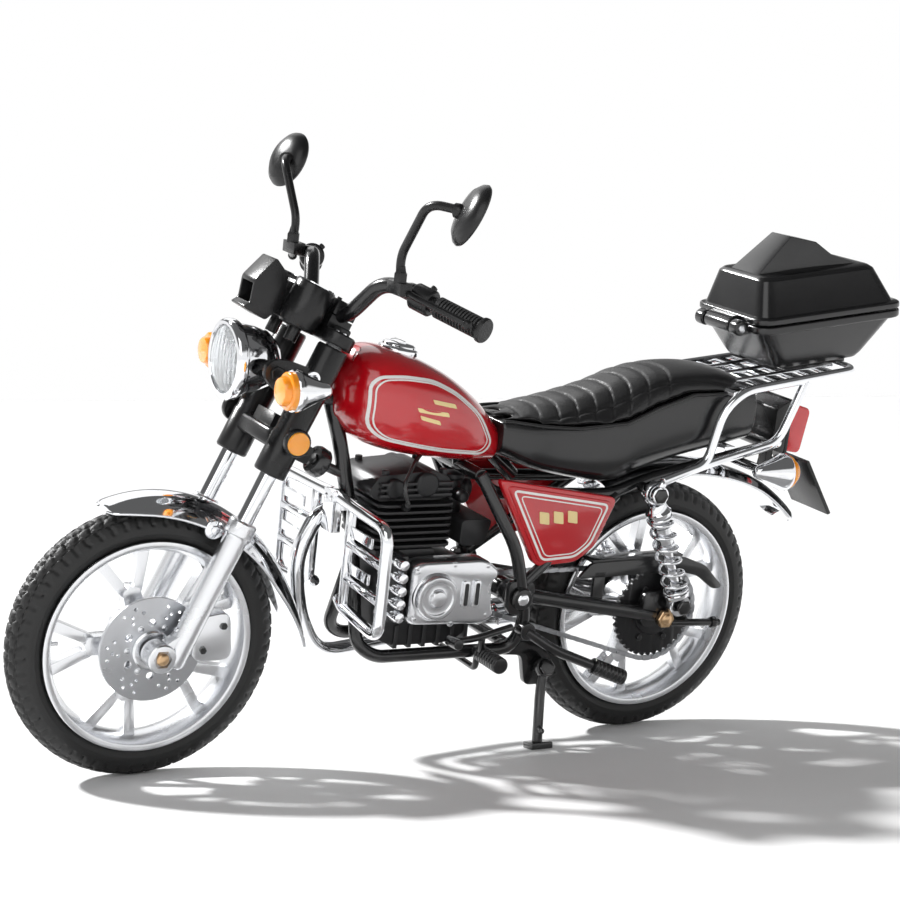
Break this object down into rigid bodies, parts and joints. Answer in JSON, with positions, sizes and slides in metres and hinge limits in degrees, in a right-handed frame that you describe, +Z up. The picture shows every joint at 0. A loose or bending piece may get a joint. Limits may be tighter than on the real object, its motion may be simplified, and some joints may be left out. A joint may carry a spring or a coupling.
{
  "type": "model motorcycle",
  "caption": "Scale-model cruiser motorcycle with steering, sprung wheels, padded seat, chrome guard bars, rear rack with opening top box, leaning on its side stand.",
  "frame": {"origin": "centre of the footprint on the ground, with the model leaning on its side stand", "axes": "+X towards the front wheel along the wheelbase, +Y to the rider's left (the side it leans to), +Z up"},
  "size_m": [0.2168, 0.0952, 0.1427],
  "materials": {
    "frame_black": "semi-gloss",
    "black_plastic": "satin",
    "soft_black": "matte padded vinyl",
    "tyre_rubber": "matte",
    "red_paint": "gloss lacquer",
    "chrome_plate": "bright plated",
    "silver_metal": "satin",
    "engine_black": "satin",
    "lamp_amber": "clear gloss",
    "lamp_red": "clear gloss",
    "lamp_clear": "clear",
    "brass_bolt": "satin"
  },
  "bodies": {
    "chassis": {"main_frame": "frame_black", "crankcase": "engine_black", "engine_cover_left": "silver_metal", "engine_cover_right": "silver_metal", "cylinder": "engine_black", "intake": "silver_metal", "exhaust": "chrome_plate", "guard_bars": "chrome_plate", "foot_controls": "black_plastic", "fuel_tank": "red_paint", "fuel_cap": "chrome_plate", "side_cover_left": "red_paint", "side_cover_right": "red_paint", "seat_cushion": "soft_black", "seat_base": "black_plastic", "rear_mudguard": "chrome_plate", "luggage_rack": "chrome_plate", "tail_lens": "lamp_red", "tail_housing": "black_plastic", "rear_signals": "chrome_plate", "top_box_base": "black_plastic", "hinge_pin": "silver_metal", "shock_sleeve_left": "chrome_plate", "shock_spring_left": "chrome_plate", "shock_sleeve_right": "chrome_plate", "shock_spring_right": "chrome_plate"},
    "steering": {"fork_tube_left": "chrome_plate", "fork_tube_right": "chrome_plate", "lower_yoke": "black_plastic", "upper_yoke": "black_plastic", "handlebar": "frame_black", "headlight_shell": "chrome_plate", "headlight_lens": "lamp_clear", "dials_and_visor": "black_plastic", "front_signal_left": "lamp_amber", "front_signal_right": "lamp_amber", "grip_left": "soft_black", "grip_right": "soft_black", "bar_controls_left": "black_plastic", "bar_controls_right": "black_plastic"},
    "fork_legs": {"fork_slider_left": "silver_metal", "fork_slider_right": "silver_metal", "front_mudguard": "chrome_plate", "brake_caliper": "silver_metal", "front_axle": "brass_bolt"},
    "front_wheel": {"front_rim": "silver_metal", "front_tyre": "tyre_rubber", "brake_disc": "silver_metal"},
    "mirror_arm_left": {"mirror_left": "black_plastic"},
    "mirror_arm_right": {"mirror_right": "black_plastic"},
    "rear_fork": {"swing_arm": "frame_black", "drive_chain": "engine_black", "rear_axle": "brass_bolt", "shock_body_left": "chrome_plate", "shock_body_right": "chrome_plate"},
    "rear_wheel": {"rear_rim": "silver_metal", "rear_tyre": "tyre_rubber"},
    "stand": {"side_stand": "frame_black"},
    "lid": {"top_box_lid": "black_plastic"}
  },
  "joints": [
    {"name": "steer", "type": "hinge", "parent": "chassis", "child": "steering", "pos_m": [0.04511, -0.01021, 0.08063], "axis": [-0.4147, 0.1954, 0.8887], "range_deg": [-22, 22]},
    {"name": "fork_travel", "type": "slide", "parent": "steering", "child": "fork_legs", "axis": [-0.4147, 0.1954, 0.8887], "range_m": [0, 0.002], "stiffness_N_per_m": 2000, "springref_m": -0.002},
    {"name": "front_roll", "type": "hinge", "parent": "fork_legs", "child": "front_wheel", "pos_m": [0.07852, -0.02147, 0.02941], "axis": [0, 0.9767, -0.2147], "continuous": true},
    {"name": "mirror_turn_left", "type": "hinge", "parent": "steering", "child": "mirror_arm_left", "pos_m": [0.03892, 0.02186, 0.10538], "axis": [0, 0.2147, 0.9767], "range_deg": [-20, 20]},
    {"name": "mirror_turn_right", "type": "hinge", "parent": "steering", "child": "mirror_arm_right", "pos_m": [0.03892, -0.02893, 0.11654], "axis": [0, 0.2147, 0.9767], "range_deg": [-20, 20]},
    {"name": "rear_travel", "type": "hinge", "parent": "chassis", "child": "rear_fork", "pos_m": [-0.00678, -0.01947, 0.03849], "axis": [0, 0.9767, -0.2147], "range_deg": [0, 3], "stiffness_Nm_per_rad": 2, "springref_deg": -3.44},
    {"name": "rear_roll", "type": "hinge", "parent": "rear_fork", "child": "rear_wheel", "pos_m": [-0.04948, -0.02121, 0.03058], "axis": [0, 0.9767, -0.2147], "continuous": true},
    {"name": "stand_fold", "type": "hinge", "parent": "chassis", "child": "stand", "pos_m": [-0.01648, -0.01188, 0.01809], "axis": [0, 0.9848, 0.1734], "range_deg": [0, 85]},
    {"name": "lid_open", "type": "hinge", "parent": "chassis", "child": "lid", "pos_m": [-0.06354, -0.00619, 0.09888], "axis": [0, 0.9767, -0.2147], "range_deg": [0, 80]}
  ]
}
